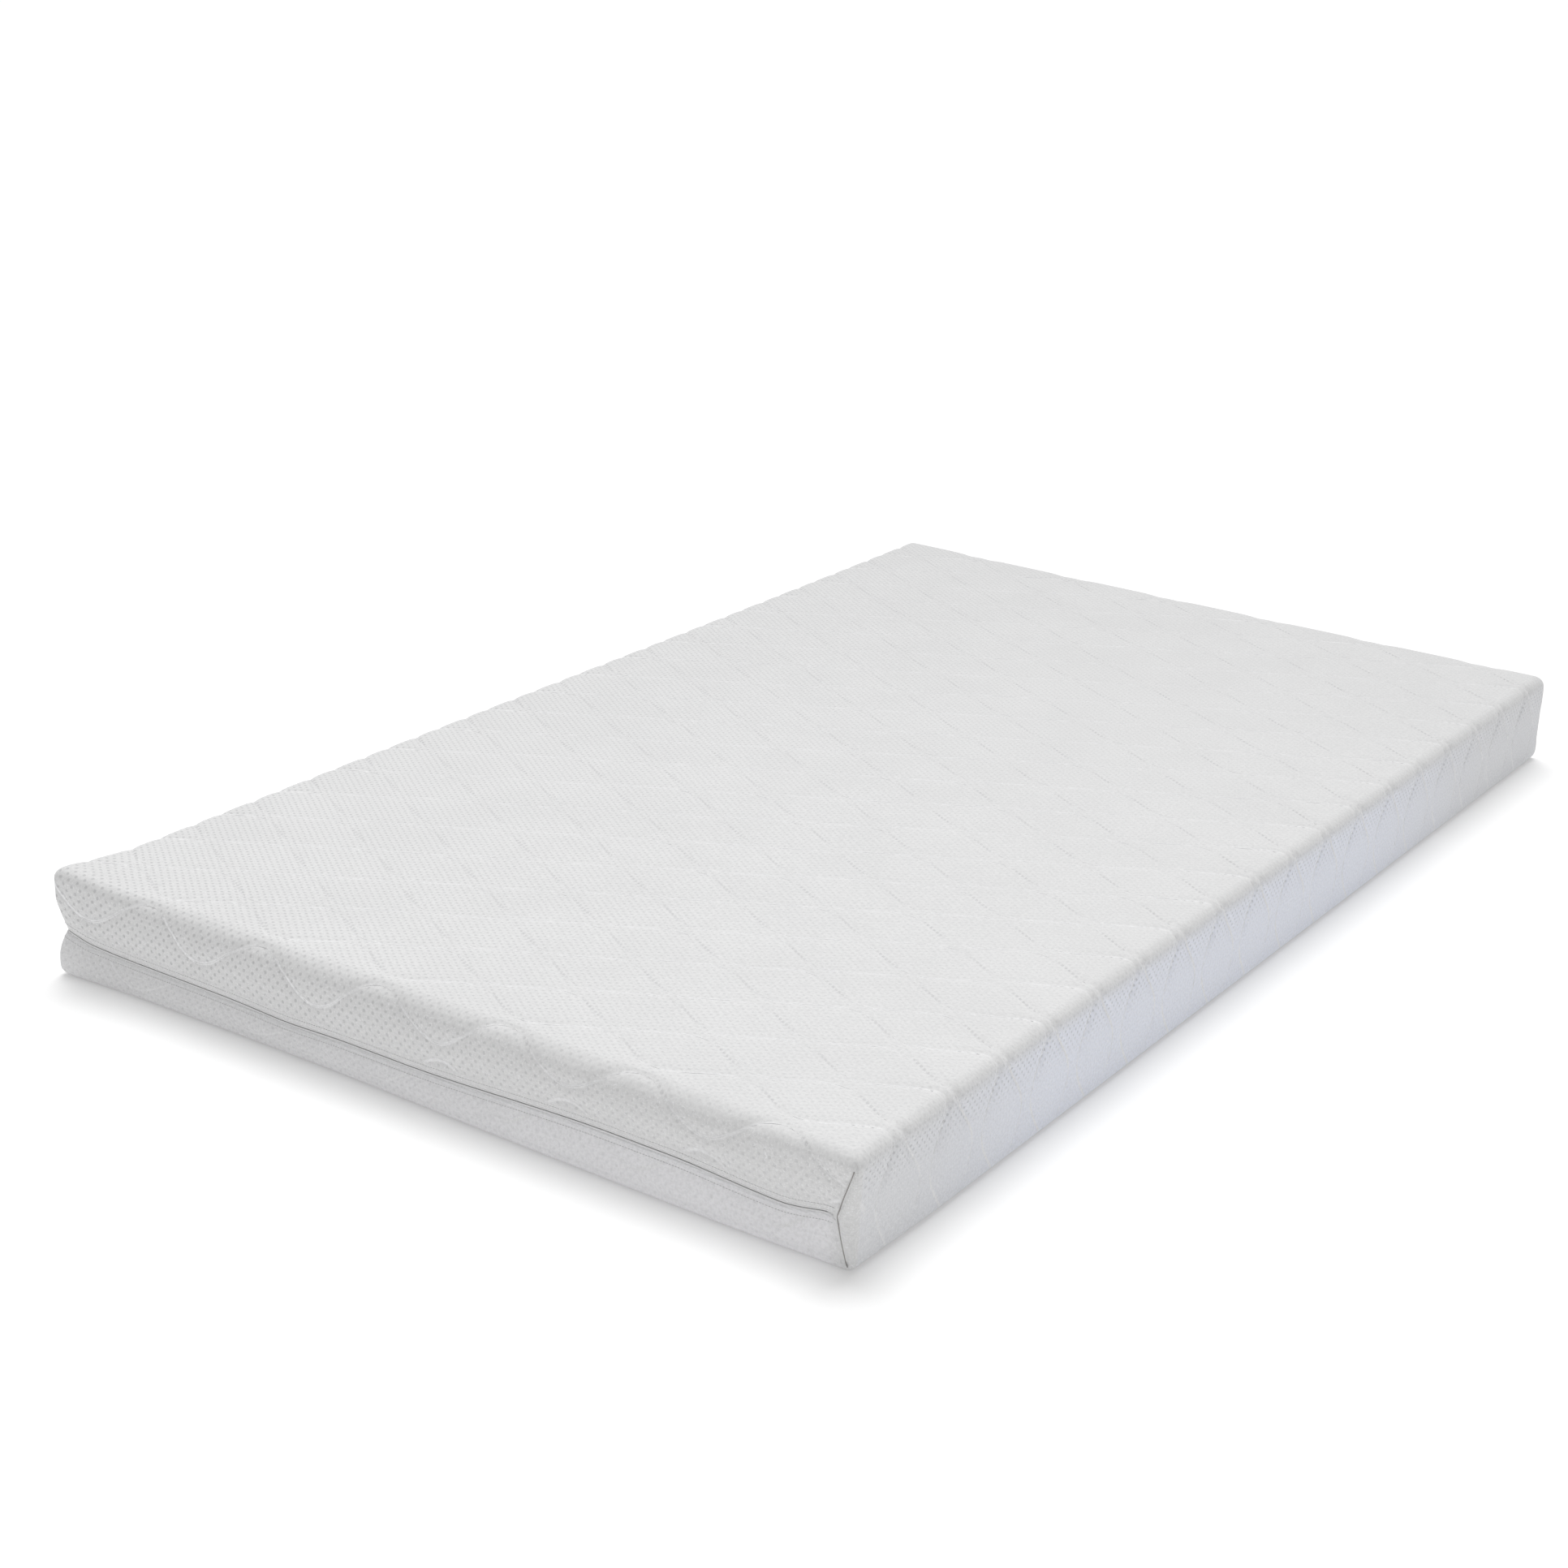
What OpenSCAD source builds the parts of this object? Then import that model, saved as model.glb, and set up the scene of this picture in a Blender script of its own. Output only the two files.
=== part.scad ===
// Memory foam mattress with a quilted knit cover that unzips on three sides.
// Millimetres. X runs across the bed, Y along it, Z up. The origin is the
// middle of the underside. The seam-free long side faces +X, the zip runs
// along the -Y end, the -X side and the +Y end.

/* [Mattress] */
// Width across the bed
mattress_w = 1200; // [700:10:2000]
// Length of the bed
mattress_l = 2000; // [1200:10:2200]
// Thickness with the cover on
mattress_t = 140; // [130:5:250]
// Plan radius of the two corners that the zip runs round
zip_corner_r = 48; // [40:1:70]
// Plan radius of the two boxed corners, where the zip ends
seam_corner_r = 34; // [34:1:40]
// Rounding of the edge round the sleeping surface
top_edge_r = 32; // [26:1:33]
// Rounding of the edge round the underside
bottom_edge_r = 20; // [16:1:30]

/* [Foam] */
// Thickness of the memory foam layer on top
memory_foam_t = 40; // [20:5:60]

/* [Cover] */
// Thickness of the knitted outer fabric
knit_t = 1.0; // [0.8:0.1:1.5]
// Thickness of the quilted fibre wadding
wadding_t = 3.8; // [2:0.1:6]
// Thickness of the non-woven backing under the wadding
backing_t = 0.8; // [0.6:0.1:1.2]
// Thickness of the stockinette sleeve round the foam
liner_t = 1.0; // [0.8:0.1:1.5]

/* [Zip] */
// Height of the zip above the underside
zip_z = 56; // [50:1:62]
// Depth to which the zip pulls the sides in
groove_depth = 10; // [6:0.5:12]
// Radius of the waist that the zip pulls into the sides
groove_r = 85; // [70:1:100]
// Radius of the rolled hem beside the zip
welt_r = 1.2; // [0.8:0.1:1.3]
// Length of the slider
slider_len = 10; // [8:0.5:12]
// Length of the pull tab below its eye
tab_len = 14; // [8:0.5:15]

/* [Hidden] */
$fn = 64;

half_w = mattress_w / 2;
half_l = mattress_l / 2;
ply_gap = 0.2;                 // air between the plies of the cover
// Depths below the outer surface at which each ply starts and ends
wadding_in = knit_t + ply_gap;
backing_in = wadding_in + wadding_t + ply_gap;
tape_in = backing_in + backing_t + ply_gap;
tape_t = 0.6;
liner_in = tape_in + tape_t + ply_gap;
foam_in = liner_in + liner_t + ply_gap;
foam_split_z = mattress_t - foam_in - memory_foam_t;
zip_room = 3;                  // the liner and foam give way this much behind the zip

// The waist: a circle swept along the sides, its centre outside the face
groove_out = groove_r - groove_depth;
slot_half = 6.4;               // half the gap between the two hems
// Where the straight sides meet the corners, and where the zip ends
zip_turn_x = -half_w + zip_corner_r;
zip_turn_y = half_l - zip_corner_r;
seam_turn_x = half_w - seam_corner_r;
seam_turn_y = half_l - seam_corner_r;
zip_end_x = seam_turn_x - foam_in - 1;
stop_len = 3;
coil_r = 0.75;
coil_z = 1.4;                  // each coil's height above or below the zip's middle
coil_out = -(groove_depth + tape_in) + 0.1 + coil_r;
welt_z = 5;
welt_out = -groove_depth - 1.3;   // set back, so that the hanging tab clears it
stitch_z = 9;
stitch_half = 0.4;
stitch_proud = 0.5;

// The slider stands across the middle of the zip on the +Y end
slider_w = 6.8;
plate_t = 1.1;
wedge_w = 0.7;
park_x = zip_end_x - stop_len - slider_len / 2 - 2;   // parked at the closed end
tape_back = -(groove_depth + tape_in + tape_t);
inner_plate_out = tape_back - 0.4 - plate_t;
outer_plate_out = coil_out + coil_r + 0.4;
flange_w = 0.8;
bail_r = 0.7;
bail_gap = 1.7;
bail_out = outer_plate_out + plate_t + bail_gap + bail_r;
bail_foot_x = 2.0;
bail_foot_t = 1.2;
eye_bore_r = 1.0;
eye_r = 1.9;
eye_w = 3;
tab_w = 4.5;
tab_t = 1.2;
tab_tilt = 20;                 // the hanging tab rests this far from the vertical
label_y = half_l - 260;
label_w = 30;

// Section of one side inset by t. X is outwards from the side's face, Y is
// height. It reaches inwards by depth, to where the middle of the bed starts.
module plain_section(t, depth) {
    flat_low = bottom_edge_r;
    flat_high = mattress_t - top_edge_r;
    translate([-depth, t]) square([depth - top_edge_r, mattress_t - 2 * t]);
    translate([-depth, flat_low]) square([depth - t, flat_high - flat_low]);
    translate([-depth, t]) square([depth - bottom_edge_r, bottom_edge_r]);
    translate([-top_edge_r, flat_high]) intersection() {
        circle(top_edge_r - t);
        square(top_edge_r);
    }
    translate([-bottom_edge_r, flat_low]) intersection() {
        circle(bottom_edge_r - t);
        translate([0, -bottom_edge_r]) square(bottom_edge_r);
    }
}

// The same section drawn in at the zip, by room more where the zip needs it
module waisted_section(t, depth, room = 0) {
    difference() {
        plain_section(t, depth);
        translate([groove_out, zip_z]) circle(groove_r + t + room, $fn = 128);
    }
}

// Places a section, X outwards, along the +Y end from x = a to x = b
module end_row(a, b) {
    translate([a, half_l, 0]) rotate([90, 0, 90]) linear_extrude(b - a) children();
}

// Turns a section round a corner: its plan radius, centre and first angle
module corner(r, x, y, angle) {
    translate([x, y, 0]) rotate([0, 0, angle])
        rotate_extrude(angle = 90) translate([r, 0]) children();
}

// Sweeps a section along the three zipped sides, up to x = end_x at both ends
module along_zip(end_x) {
    for (s = [0, 1]) mirror([0, s, 0]) end_row(zip_turn_x, end_x) children();
    translate([-half_w, zip_turn_y, 0]) rotate([90, 0, 0])
        linear_extrude(2 * zip_turn_y) mirror([1, 0]) children();
    corner(zip_corner_r, zip_turn_x, zip_turn_y, 90) children();
    corner(zip_corner_r, zip_turn_x, -zip_turn_y, 180) children();
}

// Sweeps a section along the +X side and round its two corners
module along_seamless_side() {
    translate([half_w, seam_turn_y, 0]) rotate([90, 0, 0])
        linear_extrude(2 * seam_turn_y) children();
    corner(seam_corner_r, seam_turn_x, seam_turn_y, 0) children();
    corner(seam_corner_r, seam_turn_x, -seam_turn_y, 270) children();
}

// The middle of the bed, inside the swept sides, from height low to high
module middle(low, high) {
    translate([zip_turn_x, -zip_turn_y, low])
        cube([seam_turn_x - zip_turn_x, 2 * zip_turn_y, high - low]);
}

// Keeps the part of a section between two heights
module between(low, high) {
    intersection() {
        children();
        translate([-mattress_w, low]) square([2 * mattress_w, high - low]);
    }
}

// One layer of foam between the heights low and high
module foam_layer(low, high) {
    t = foam_in;
    along_zip(zip_end_x + t) between(low, high) waisted_section(t, zip_corner_r, zip_room);
    for (s = [0, 1]) mirror([0, s, 0]) end_row(zip_end_x + t, seam_turn_x)
        between(low, high) plain_section(t, zip_corner_r);
    along_seamless_side() between(low, high) plain_section(t, seam_corner_r);
    middle(low, high);
}

// One ply of the cover or liner, from depth a to depth b below the surface.
// slot is half the height of the opening along the zip, 0 for none.
module ply(a, b, slot = 0, room = 0) {
    along_zip(zip_end_x + a) difference() {
        waisted_section(a, zip_corner_r, room);
        waisted_section(b, zip_corner_r + 1, room);
        if (slot > 0)
            translate([-groove_depth - b - 1, zip_z - slot])
                square([groove_depth + b + 1, 2 * slot]);
    }
    for (s = [0, 1]) mirror([0, s, 0]) {
        end_row(zip_end_x + a, zip_end_x + b) difference() {
            plain_section(a, zip_corner_r);
            waisted_section(b, zip_corner_r + 1, room);
        }
        end_row(zip_end_x + b, seam_turn_x) difference() {
            plain_section(a, zip_corner_r);
            plain_section(b, zip_corner_r + 1);
        }
    }
    along_seamless_side() difference() {
        plain_section(a, seam_corner_r);
        plain_section(b, seam_corner_r + 1);
    }
    middle(a, b);
    middle(mattress_t - b, mattress_t - a);
}

module support_foam() {
    color("#e8e4d6") foam_layer(foam_in, foam_split_z);
}

module memory_foam() {
    color("#f2e9c4") foam_layer(foam_split_z, mattress_t - foam_in);
}

module foam_liner() {
    color("#f4f4f2") ply(liner_in, liner_in + liner_t, room = zip_room);
}

module cover_backing() {
    color("#ececec") ply(backing_in, backing_in + backing_t, slot_half);
}

module cover_wadding() {
    color("#fafafa") ply(wadding_in, wadding_in + wadding_t, slot_half);
}

module cover_knit() {
    color("#f1f1f0") ply(0, knit_t, slot_half);
}

// Rolled hem beside the zip, s = 1 above it and -1 below it
module zip_welt(s) {
    color("#f6f5f3") along_zip(zip_end_x)
        translate([welt_out, zip_z + s * welt_z]) circle(welt_r, $fn = 32);
}

module zip_welt_upper() { zip_welt(1); }
module zip_welt_lower() { zip_welt(-1); }

// Row of thread that holds the hem down to the tape
module zip_topstitch(s) {
    color("#dcdcdc") along_zip(zip_end_x) intersection() {
        difference() {
            translate([groove_out, zip_z]) circle(groove_r - 0.1, $fn = 128);
            translate([groove_out, zip_z]) circle(groove_r - stitch_proud, $fn = 128);
        }
        translate([-groove_depth - 1, zip_z + s * stitch_z - stitch_half])
            square([groove_depth, 2 * stitch_half]);
    }
}

module zip_topstitch_upper() { zip_topstitch(1); }
module zip_topstitch_lower() { zip_topstitch(-1); }

// Woven tape behind the hem, which carries one coil along its edge
module zip_tape(s) {
    tape_low = 1;
    tape_high = 15;
    color("#e9e9e7") along_zip(zip_end_x) intersection() {
        difference() {
            translate([groove_out, zip_z]) circle(groove_r + tape_in + tape_t, $fn = 128);
            translate([groove_out, zip_z]) circle(groove_r + tape_in, $fn = 128);
        }
        translate([-groove_depth - 12, s > 0 ? zip_z + tape_low : zip_z - tape_high])
            square([groove_depth + 8, tape_high - tape_low]);
    }
}

module zip_tape_upper() { zip_tape(1); }
module zip_tape_lower() { zip_tape(-1); }

// Nylon coil on its tape, ending short of the stops
module zip_coil(s) {
    color("#f2f2f2") along_zip(zip_end_x - stop_len - 0.6)
        translate([coil_out, zip_z + s * coil_z]) circle(coil_r, $fn = 32);
}

module zip_coil_upper() { zip_coil(1); }
module zip_coil_lower() { zip_coil(-1); }

// Pressed stop across both coils at each end of the zip
module zip_end_stops() {
    stop_h = 5.2;
    stop_d = 1.8;
    tape_face = half_l - groove_depth - tape_in;
    color("#d8d8d8") for (s = [0, 1]) mirror([0, s, 0])
        translate([zip_end_x - stop_len - 0.2, tape_face + 0.1, zip_z - stop_h / 2])
            cube([stop_len, stop_d, stop_h]);
}

// Corded seam up a boxed corner, s = -1 at the -Y end and 1 at the +Y end
module corner_seam(s) {
    cord_r = 1.5;
    reach = (seam_corner_r + ply_gap + cord_r) / sqrt(2);
    seam_low = bottom_edge_r + 6;
    seam_high = mattress_t - top_edge_r - 4;
    color("#eeeae8")
        translate([seam_turn_x + reach, s * (seam_turn_y + reach), seam_low])
            cylinder(r = cord_r, h = seam_high - seam_low, $fn = 32);
}

module corner_seam_front() { corner_seam(-1); }
module corner_seam_back() { corner_seam(1); }

// Blank woven label held in the hem, lying on the lower part of the -X side
module care_label() {
    label_low = 24;
    label_high = 10.5;
    color("#ffffff") translate([-half_w, label_y + label_w / 2, 0]) rotate([90, 0, 0])
        linear_extrude(label_w) mirror([1, 0]) intersection() {
            difference() {
                translate([groove_out, zip_z]) circle(groove_r - 0.1, $fn = 128);
                translate([groove_out, zip_z]) circle(groove_r - 0.7, $fn = 128);
            }
            translate([-groove_depth - 1, zip_z - label_low])
                square([groove_depth, label_low - label_high]);
        }
}

// Slider: two plates joined by the wedge, flanges over the coils, and a bail
module zip_slider() {
    plate_z = slider_w / 2;
    channel_out = outer_plate_out - inner_plate_out;
    foot_h = bail_out + bail_r - outer_plate_out - plate_t;
    color("#c9cbcd") translate([park_x, half_l, zip_z]) {
        for (d = [inner_plate_out, outer_plate_out])
            translate([-slider_len / 2, d, -plate_z]) cube([slider_len, plate_t, slider_w]);
        translate([slider_len / 2 - 3, inner_plate_out, -wedge_w / 2])
            cube([2.4, channel_out + plate_t, wedge_w]);
        for (s = [0, 1]) mirror([0, 0, s])
            translate([-slider_len / 2, outer_plate_out - 1.3, plate_z - flange_w])
                cube([slider_len, 1.3 + plate_t, flange_w]);
        for (s = [0, 1]) mirror([s, 0, 0])
            translate([bail_foot_x, outer_plate_out + plate_t - 0.2, -bail_r])
                cube([bail_foot_t, foot_h - bail_r + 0.2, 2 * bail_r]);
        translate([-bail_foot_x - bail_foot_t, bail_out, 0]) rotate([0, 90, 0])
            cylinder(r = bail_r, h = 2 * (bail_foot_x + bail_foot_t), $fn = 48);
    }
}

// Pull tab: an eye round the bail and a plate that hangs from it
module zip_pull() {
    end_r = tab_w / 2;
    color("#c9cbcd") translate([park_x, half_l + bail_out, zip_z]) rotate([tab_tilt, 0, 0])
        difference() {
            union() {
                translate([-eye_w / 2, 0, 0]) rotate([0, 90, 0]) cylinder(r = eye_r, h = eye_w, $fn = 48);
                translate([-eye_w / 2, -tab_t / 2, -eye_r - 1]) cube([eye_w, tab_t, 2]);
                translate([-tab_w / 2, -tab_t / 2, -tab_len + end_r])
                    cube([tab_w, tab_t, tab_len - end_r - eye_r - 0.4]);
                translate([0, tab_t / 2, -tab_len + end_r]) rotate([90, 0, 0])
                    cylinder(r = end_r, h = tab_t, $fn = 48);
            }
            translate([-tab_w, 0, 0]) rotate([0, 90, 0]) cylinder(r = eye_bore_r, h = 2 * tab_w, $fn = 48);
        }
}

support_foam();
memory_foam();
foam_liner();
cover_backing();
cover_wadding();
cover_knit();
zip_welt_upper();
zip_welt_lower();
zip_topstitch_upper();
zip_topstitch_lower();
zip_tape_upper();
zip_tape_lower();
zip_coil_upper();
zip_coil_lower();
zip_end_stops();
corner_seam_front();
corner_seam_back();
care_label();
zip_slider();
zip_pull();
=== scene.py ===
import math

import bpy
import numpy as np
from mathutils import Matrix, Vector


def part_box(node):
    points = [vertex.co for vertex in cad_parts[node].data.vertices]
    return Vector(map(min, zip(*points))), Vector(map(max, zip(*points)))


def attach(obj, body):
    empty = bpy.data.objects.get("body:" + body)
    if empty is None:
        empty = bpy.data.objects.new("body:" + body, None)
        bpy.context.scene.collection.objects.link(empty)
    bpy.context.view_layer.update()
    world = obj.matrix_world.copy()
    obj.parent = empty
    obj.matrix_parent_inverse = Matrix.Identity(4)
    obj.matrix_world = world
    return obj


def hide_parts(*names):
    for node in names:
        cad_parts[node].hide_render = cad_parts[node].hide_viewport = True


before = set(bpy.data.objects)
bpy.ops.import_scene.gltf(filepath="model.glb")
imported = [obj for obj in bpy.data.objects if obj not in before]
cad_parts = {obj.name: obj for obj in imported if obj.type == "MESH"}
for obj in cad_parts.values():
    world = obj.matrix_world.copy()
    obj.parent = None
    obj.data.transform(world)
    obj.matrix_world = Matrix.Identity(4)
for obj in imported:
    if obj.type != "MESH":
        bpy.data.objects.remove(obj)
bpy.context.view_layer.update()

MM = 0.001
PI = math.pi

# ---- sizes, in metres
HALF_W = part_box("cover_knit")[1][0]
HALF_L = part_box("cover_knit")[1][1]
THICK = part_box("cover_knit")[1][2]
ZIP_Z = (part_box("zip_coil_lower")[0][2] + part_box("zip_coil_upper")[1][2]) / 2
ZIP_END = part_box("zip_tape_upper")[1][0]
FOAM_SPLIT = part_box("support_foam")[1][2]
TOP_R = 18 * MM            # roll of the top edge
SOFT_FRONT = 10 * MM       # how much rounder the front top edge is
TIGHT_LEFT = 4 * MM        # how much tighter the left top edge is
LOW_R = 12 * MM            # roll of the bottom edge
ZIP_CORNER = 26 * MM       # plan radius of the two corners that the zip goes round
SEAM_CORNER = 22 * MM      # plan radius of the two sewn corners
ZIP_SHARPNESS = 6.0        # 2 is a round corner in plan, more is squarer
SEAM_SHARPNESS = 5.0
WAIST = 10 * MM            # how far the zip line is drawn in
WAIST_UP = 43 * MM         # the waist's reach above and below the zip
WAIST_DOWN = 34 * MM
POCKET = 9 * MM            # how far the knit turns in at the zip
LIP_FRONT = 1.2 * MM       # half of the zip opening's height on the front
LIP_BACK = 6.4 * MM        # and on the other sides
PLAIN_ROWS = 9 * MM        # half height of the same rows where there is no zip
BEND = PI / 4              # cloth length per metre of sharp edge, where the edge is rolled

# quilting: two families of wavy lines that close to a neck and open to a leaf by turns
QUILT_PITCH = 108 * MM     # between two lines of one family
QUILT_WAVE = 188 * MM      # length of a wave
QUILT_SWING = 18 * MM      # and how far it swings each way
QUILT_CREST = 153 * MM     # cloth coordinate of a crest
FAMILY_A = 55 * MM         # where each family starts along the mattress
FAMILY_B = -2 * MM
CREASE_WIDTH = 7 * MM
TOP_RELIEF = 0.8 * MM      # depth of the creases on the top
SIDE_RELIEF = 2.7 * MM     # on the sides
SEAMLESS_RELIEF = 4.0 * MM # and on the side without a zip, where the cover is drawn tight

DOT_ACROSS = 13.5 * MM     # repeat of the knit's dots across the mattress, and along it
DOT_ALONG = 9.84 * MM
RIB_PITCH = 3.2 * MM       # ribs on the plain strips

# how the cover has settled
ZIP_SAG = -9 * MM          # of the front zip at its left end
ZIP_RISES = (              # start and end along the front, in metres, and the change in height
    (0.56, 0.88, 11.5 * MM),
    (0.95, 1.10, -6 * MM),
    (1.10, 1.18, 11 * MM),
)
ZIP_DIP = (0.38, 0.06, -3 * MM)      # middle, reach and change in height
NEAR_REACH = 70 * MM       # the front-right corner: its bottom stands in and its top out
NEAR_IN = 5 * MM
NEAR_OUT = 12 * MM
NEAR_LIFT = 4 * MM
EAR_REACH = 55 * MM        # the front-left corner, which stands out and up
EAR_OUT = 10 * MM
EAR_LIFT_REACH = 50 * MM
EAR_LIFT = 9 * MM
TUCK = 6 * MM              # how far the front's bottom edge is tucked in, left of its middle
TUCK_TOP = 45 * MM
TUCK_MIDDLE = -180 * MM
TUCK_REACH = 250 * MM
TOP_WAVES = 0.8 * MM       # slow waves over the whole top

# threads and layers
SEAM_THREAD = 0.65 * MM    # radius of the corner seams' thread
YARN = 0.28 * MM           # radius of the quilting yarn
YARN_SUNK = 0.85           # share of the crease's depth that it lies at
HEM_ROLL = 1.15 * MM
COIL_TURN = 2.2 * MM       # length of one turn of the coil, and the wire's radius
COIL_WIRE = 0.3 * MM
STITCH_PITCH = 4.0 * MM
STITCH_LENGTH = 2.9 * MM
TAPE_LOW = 1 * MM          # the tape's edges above or below the middle of the zip
TAPE_HIGH = 15 * MM
TAPE_THICK = 0.6 * MM
ON_FACE = 1e-6             # nearer than this to a face counts as on it

# camera, fitted to the photo's perspective
CAMERA_PLACE = (1.89212, -3.0597, 1.48114)
CAMERA_YAW = math.radians(124.16)
CAMERA_PITCH = math.radians(21.0)
CAMERA_ROLL = 0.0316549
CAMERA_LENS = 61.84        # in mm, on a sensor 36 mm wide


# ---- helpers
def smooth(a, b, x):
    """0 at a, 1 at b, and a smooth step between them."""
    t = np.clip((x - a) / (b - a), 0, 1)
    return t * t * (3 - 2 * t)


def cloth(d, r):
    """Cloth length from a rolled edge of radius r to a point d from the sharp one."""
    return np.where(d < r, d * BEND, d - r * (1 - BEND))


def uncloth(s, r):
    """The sharp distance that cloth() turns into s."""
    return np.where(s < r * BEND, s / BEND, s + r * (1 - BEND))


def span(half, r):
    """Cloth length across a face whose sharp width is 2 * half."""
    return 2 * (half - r * (1 - BEND))


def across(x, half, r):
    """Cloth coordinate across a face, from 0 at its low edge."""
    near = cloth(half - np.abs(x), r)
    return np.where(x < 0, near, span(half, r) - near)


def unacross(s, half, r):
    """The sharp position that across() turns into s."""
    near = uncloth(np.minimum(s, span(half, r) - s), r)
    return np.where(s < span(half, r) / 2, near - half, half - near)


def unit(vectors):
    """The same directions, one metre long."""
    return vectors / np.maximum(np.linalg.norm(vectors, axis=1), 1e-12)[:, None]


def edge_gap(x, y):
    """How far in from the nearest side."""
    return np.minimum(HALF_W - np.abs(x), HALF_L - np.abs(y))


def corner_gap(x, y):
    """How far from the nearest corner, along the side."""
    return np.maximum(HALF_W - np.abs(x), HALF_L - np.abs(y))


def zip_share(x):
    """1 where the side has the zip's waist, 0 on the side without a zip."""
    return 1 - smooth(HALF_W - 45 * MM, HALF_W - 4 * MM, x)


def zip_open(x):
    """1 as far as the zip opens, 0 past its end."""
    return 1 - smooth(ZIP_END + 10 * MM, ZIP_END + 17 * MM, x)


def lip(x, y):
    """Half height of the zip's opening."""
    away = smooth(-HALF_L + 5 * MM, -HALF_L + 110 * MM, y)
    half = LIP_FRONT + (LIP_BACK - LIP_FRONT) * away
    return half * zip_open(x) + PLAIN_ROWS * (1 - zip_open(x))


def waist(x, y, z):
    """How far the side is drawn in at height z: a notch, but hollow where the slider runs."""
    off = np.clip(np.where(z > ZIP_Z, (z - ZIP_Z) / WAIST_UP, (ZIP_Z - z) / WAIST_DOWN), 0, 1)
    notch = (1 - off) ** np.where(z > ZIP_Z, 1.25, 1.6)
    hollow = 1 - off ** 2
    at_back = smooth(HALF_L - 0.15, HALF_L - 0.01, y)
    return WAIST * (notch + (hollow - notch) * at_back) * zip_share(x)


def top_roll(x, y):
    """Roll of the top edge: softer along the front, tighter on the left."""
    front = 1 - smooth(-HALF_L + 0.05, -HALF_L + 0.25, y)
    left = 1 - smooth(-HALF_W + 0.03, -HALF_W + 0.25, x)
    right = smooth(HALF_W - 0.22, HALF_W - 0.03, x)
    return TOP_R + SOFT_FRONT * front * (1 - left) * (1 - right) - TIGHT_LEFT * left


def plan(x, y, inset):
    """Moves a point of the square outline inwards, round the corners."""
    corner = np.where(x < 0, ZIP_CORNER, SEAM_CORNER)
    sharpness = np.where(x < 0, ZIP_SHARPNESS, SEAM_SHARPNESS)
    past_x = np.maximum(0, np.abs(x) - (HALF_W - corner))
    past_y = np.maximum(0, np.abs(y) - (HALF_L - corner))
    far = (past_x ** sharpness + past_y ** sharpness) ** (1 / sharpness)
    scale = (corner - inset) / np.maximum(far, 1e-9)
    new_x = np.where(past_x > 0, HALF_W - corner + past_x * scale, np.abs(x))
    new_y = np.where(past_y > 0, HALF_L - corner + past_y * scale, np.abs(y))
    return np.sign(x) * new_x, np.sign(y) * new_y


def behind_zip(x, z):
    """How much further in the inner layers lie behind the zip."""
    return 3 * MM * (1 - smooth(9 * MM, 22 * MM, np.abs(z - ZIP_Z))) * zip_share(x)


def place(x, y, z, depth=0.0, pocket=0.0):
    """The real place of a point of the sharp box, this far under the cover's face."""
    edge = edge_gap(x, y)
    upper = z > THICK / 2
    roll = np.where(upper, top_roll(x, y), LOW_R)
    from_face = np.where(upper, THICK - z, z)
    turn = BEND * (1 - np.clip(edge / roll, 0, 1) + np.clip(from_face / roll, 0, 1))
    inset = np.where(edge < roll, roll - (roll - depth) * np.sin(turn), edge)
    height = np.where(from_face < roll, roll - (roll - depth) * np.cos(turn), from_face)
    height = np.where(edge < roll, height, depth)
    inset = inset + pocket + np.where(edge < ON_FACE, waist(x, y, z), 0)
    new_x, new_y = plan(x, y, inset)
    return np.stack([new_x, new_y, np.where(upper, THICK - height, height)], -1)


# ---- how the cover has settled
def wander(x):
    """How far the front zip hangs below or above its mean height."""
    left = x + HALF_W
    total = ZIP_SAG
    for from_here, to_there, change in ZIP_RISES:
        total = total + change * smooth(from_here, to_there, left)
    middle, reach, change = ZIP_DIP
    total = total + change * np.exp(-((left - middle) / reach) ** 2)
    return total * smooth(-0.005, 0.055, left)


def near_corner(x, y, corner_x, reach):
    """1 at one of the front corners, fading out with the distance from it."""
    return np.exp(-((x - corner_x) ** 2 + (y + HALF_L) ** 2) / (2 * reach ** 2))


def settle(points):
    """The sags and leans that the whole mattress shares."""
    x, y, z = points.T
    front = 1 - smooth(-HALF_L + 0.03, -HALF_L + 0.10, y)
    near = near_corner(x, y, HALF_W, NEAR_REACH)
    lean = near * (NEAR_OUT * z / THICK - NEAR_IN) / math.sqrt(2)
    ear = EAR_OUT * near_corner(x, y, -HALF_W, EAR_REACH) / math.sqrt(2)
    tuck = TUCK * np.clip(1 - z / TUCK_TOP, 0, 1) * front
    tuck = tuck * np.exp(-((x - TUCK_MIDDLE) / TUCK_REACH) ** 2)
    from_edge = np.where(z > ZIP_Z, (THICK - z) / (THICK - ZIP_Z), z / ZIP_Z)
    new_z = z + wander(x) * front * smooth(0, 1, from_edge)
    new_z = new_z + EAR_LIFT * np.clip(z / ZIP_Z, 0, 1) * near_corner(x, y, -HALF_W, EAR_LIFT_REACH)
    new_z = new_z + NEAR_LIFT * smooth(0.06, THICK, z) * near
    waves = np.sin(5.1 * x + 1) * np.sin(3.7 * y) - 1
    new_z = new_z + TOP_WAVES * smooth(0.03, THICK, z) * waves
    return np.stack([x + lean - ear, y - lean - ear + tuck, new_z], -1)


# ---- quilting
def quilt_lines(s):
    """Where both families of quilt lines cross the cloth coordinate s."""
    swing = QUILT_SWING * np.cos(2 * PI * (s - QUILT_CREST) / QUILT_WAVE)
    return FAMILY_A - swing, FAMILY_B + swing


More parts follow.
